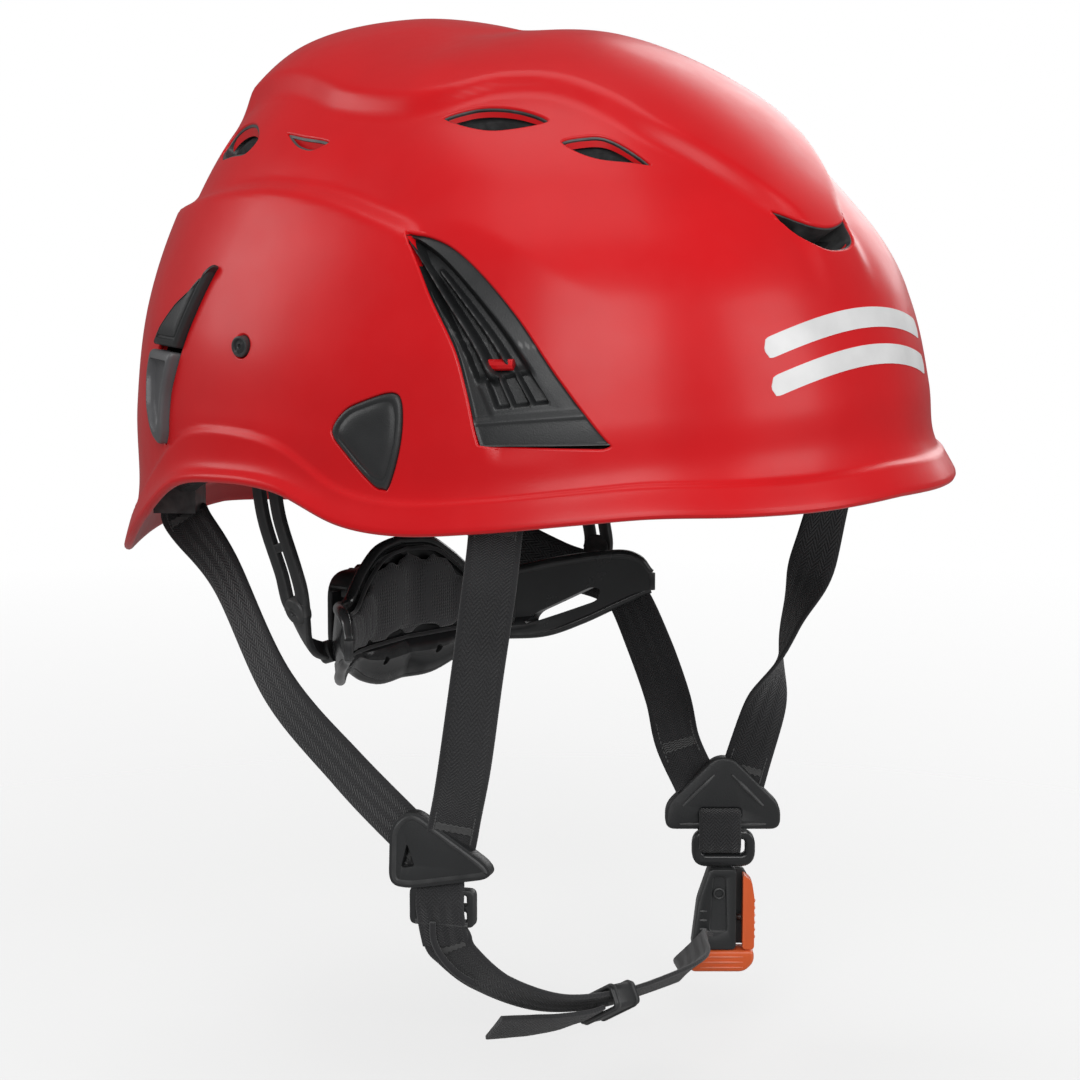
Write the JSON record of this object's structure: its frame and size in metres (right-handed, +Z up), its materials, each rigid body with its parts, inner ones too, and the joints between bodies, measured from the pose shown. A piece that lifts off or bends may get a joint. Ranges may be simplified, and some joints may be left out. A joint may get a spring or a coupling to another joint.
{
  "type": "climbing helmet",
  "caption": "Hard-shell climbing helmet with side vent grilles, foam liner, wheel-adjusted nape cradle and a webbing chin strap with a push-button buckle.",
  "frame": {"origin": "middle of the head opening, where the wearer's head enters", "axes": "+Z up through the crown, the face looks along -Y, +X is the wearer's left"},
  "size_m": [0.234, 0.28, 0.3281],
  "materials": {
    "shell_red": "glossy moulded shell",
    "liner_black": "moulded foam, fine beads",
    "satin_black": "satin moulded plastic",
    "gloss_black": "polished moulded plastic",
    "foam_grey": "fabric over foam",
    "webbing_black": "woven webbing",
    "orange": "satin moulded plastic",
    "spring_steel": "drawn wire"
  },
  "bodies": {
    "helmet": {"accessory_plug_left": "satin_black", "accessory_plug_right": "satin_black", "brow_pad": "foam_grey", "buckle_housing": "satin_black", "buckle_loop": "gloss_black", "button_spring": "spring_steel", "chin_strap": "webbing_black", "chin_strap_tail": "webbing_black", "crown_pad": "foam_grey", "elastic_keeper_loop": "webbing_black", "front_headband": "satin_black", "front_strap_left": "webbing_black", "front_strap_right": "webbing_black", "impact_liner": "liner_black", "lamp_clip_base_left": "satin_black", "lamp_clip_base_right": "satin_black", "outer_shell": "shell_red", "rear_strap_left_lower": "webbing_black", "rear_strap_left_upper": "webbing_black", "rear_strap_right": "webbing_black", "side_grille_left": "satin_black", "side_grille_right": "satin_black", "side_rivet_left": "satin_black", "side_rivet_right": "satin_black", "strap_anchor_front_left": "satin_black", "strap_anchor_front_right": "satin_black", "strap_anchor_rear_left": "satin_black", "strap_anchor_rear_right": "satin_black", "strap_divider_left": "satin_black", "strap_divider_right": "satin_black"},
    "nape_cradle": {"hanger_left": "satin_black", "hanger_right": "satin_black", "cradle_frame": "satin_black", "nape_pad": "foam_grey", "adjuster_housing": "satin_black"},
    "adjuster_wheel": {"adjuster_knob": "gloss_black", "adjuster_pinion": "satin_black"},
    "rack_left": {"size_rack_left": "satin_black"},
    "rack_right": {"size_rack_right": "satin_black"},
    "lamp_lever_left": {"lamp_clip_lever_left": "gloss_black"},
    "lamp_lever_right": {"lamp_clip_lever_right": "gloss_black"},
    "buckle_button": {"release_button": "orange"},
    "buckle_insert": {"buckle_tongue": "orange"},
    "keeper": {"strap_keeper": "gloss_black"},
    "ladder": {"ladder_lock": "satin_black"}
  },
  "joints": [
    {"name": "cradle_tilt", "type": "hinge", "parent": "helmet", "child": "nape_cradle", "pos_m": [0, 0.038, 0.006], "axis": [1, 0, 0], "range_deg": [-20, 3]},
    {"name": "wheel_turn", "type": "hinge", "parent": "nape_cradle", "child": "adjuster_wheel", "pos_m": [0, 0.07, -0.045], "axis": [0, 1, 0], "range_deg": [-81, 81]},
    {"name": "rack_left_slide", "type": "slide", "parent": "nape_cradle", "child": "rack_left", "axis": [1, 0, 0], "range_m": [-0.0076, 0.0076]},
    {"name": "rack_right_slide", "type": "slide", "parent": "nape_cradle", "child": "rack_right", "axis": [1, 0, 0], "range_m": [-0.0074, 0.0074]},
    {"name": "lever_left_flex", "type": "hinge", "parent": "helmet", "child": "lamp_lever_left", "pos_m": [0.09769, 0.06744, 0.018], "axis": [-0.6157, 0.788, 0], "range_deg": [0, 8], "stiffness_Nm_per_rad": 0.4},
    {"name": "lever_right_flex", "type": "hinge", "parent": "helmet", "child": "lamp_lever_right", "pos_m": [-0.09769, 0.06744, 0.018], "axis": [-0.6157, -0.788, 0], "range_deg": [0, 8], "stiffness_Nm_per_rad": 0.4},
    {"name": "button_press", "type": "slide", "parent": "helmet", "child": "buckle_button", "axis": [-0.6159, 0.7878, 0], "range_m": [0, 0.002], "stiffness_N_per_m": 400, "springref_m": -0.001, "deforming": ["button_spring"]},
    {"name": "tongue_pull", "type": "slide", "parent": "helmet", "child": "buckle_insert", "axis": [0, 0, -1], "range_m": [0, 0.024], "deforming": ["chin_strap"]},
    {"name": "keeper_slide", "type": "slide", "parent": "helmet", "child": "keeper", "axis": [0.9857, -0.1609, -0.0503], "range_m": [0, 0.012]},
    {"name": "ladder_tilt", "type": "hinge", "parent": "helmet", "child": "ladder", "pos_m": [-0.076, -0.028, -0.1185], "axis": [0.38, -0.925, 0], "range_deg": [0, 14]}
  ],
  "couplings": [
    {"joint": "wheel_turn", "follows": "rack_right_slide", "rad_per_m": 188.68},
    {"joint": "rack_left_slide", "follows": "rack_right_slide", "ratio": -1}
  ]
}
